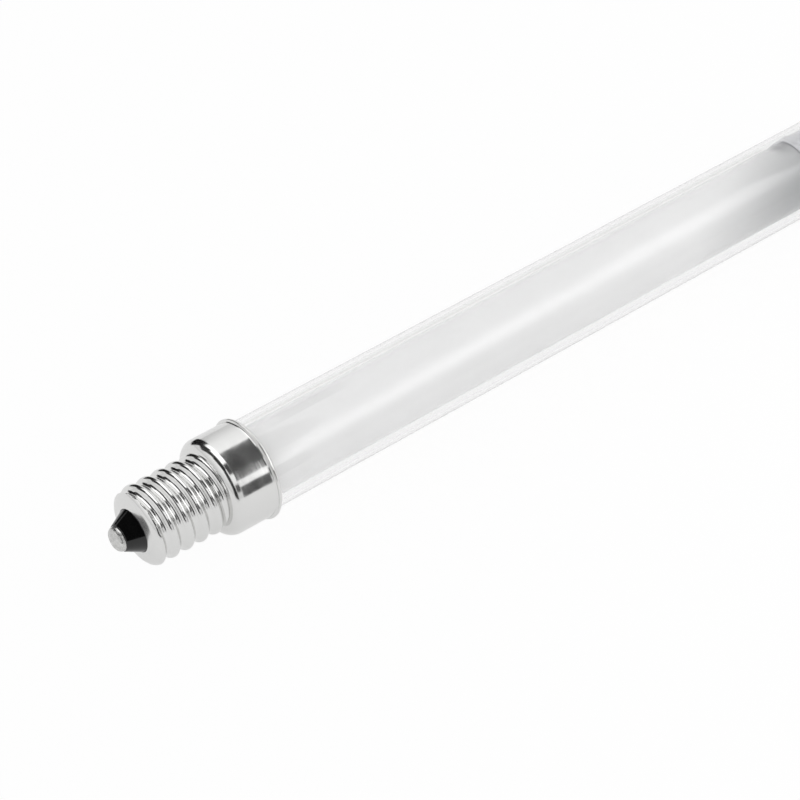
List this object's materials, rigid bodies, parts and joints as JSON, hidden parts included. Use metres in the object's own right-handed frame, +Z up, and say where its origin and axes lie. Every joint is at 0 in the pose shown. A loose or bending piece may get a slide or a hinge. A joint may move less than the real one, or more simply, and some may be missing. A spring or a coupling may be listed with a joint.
{
  "type": "uv tube light",
  "caption": "Slim ultraviolet tube lamp: a white coated discharge tube sealed in a round-ended clear glass jacket, on a small nickel-plated screw cap with a centre contact.",
  "frame": {"origin": "tip of the centre contact, on the lamp's axis", "axes": "+X along the lamp from the cap's contact to the tube's round end; the solder joint on the cap's rim is at +Y; +Z is up with the lamp lying down"},
  "size_m": [0.1733, 0.0184, 0.0182],
  "materials": {
    "nickel_plate": "nickel plate on a drawn and rolled brass shell, bright, with fine turning marks",
    "black_glass": "opaque black cap glass, pressed, glossy",
    "brass": "bare brass",
    "solder": "tin solder, set from molten, satin with a bright spot",
    "cement": "baked capping cement, matt",
    "clear_glass": "clear glass, fire-polished",
    "coated_glass": "glass coated white inside, glossy outside",
    "steatite": "unglazed white steatite",
    "nickel": "bare nickel, drawn",
    "ferrule_steel": "bright rolled spring steel",
    "mercury": "liquid mercury"
  },
  "bodies": {
    "root": {"screw_shell": "nickel_plate", "cap_insulator": "black_glass", "contact_eyelet": "brass", "contact_solder": "solder", "rim_solder": "solder", "capping_cement": "cement", "outer_tube": "clear_glass", "jacket_stem": "clear_glass", "discharge_tube": "coated_glass", "near_spacer": "steatite", "near_stem": "clear_glass", "far_stem": "clear_glass", "near_electrode": "nickel", "far_electrode": "nickel", "near_lead": "nickel", "far_lead": "nickel", "contact_lead": "nickel", "side_lead": "nickel", "return_lead": "nickel", "return_sleeve": "clear_glass", "far_ferrule": "ferrule_steel", "mercury_drop": "mercury"}
  },
  "joints": []
}
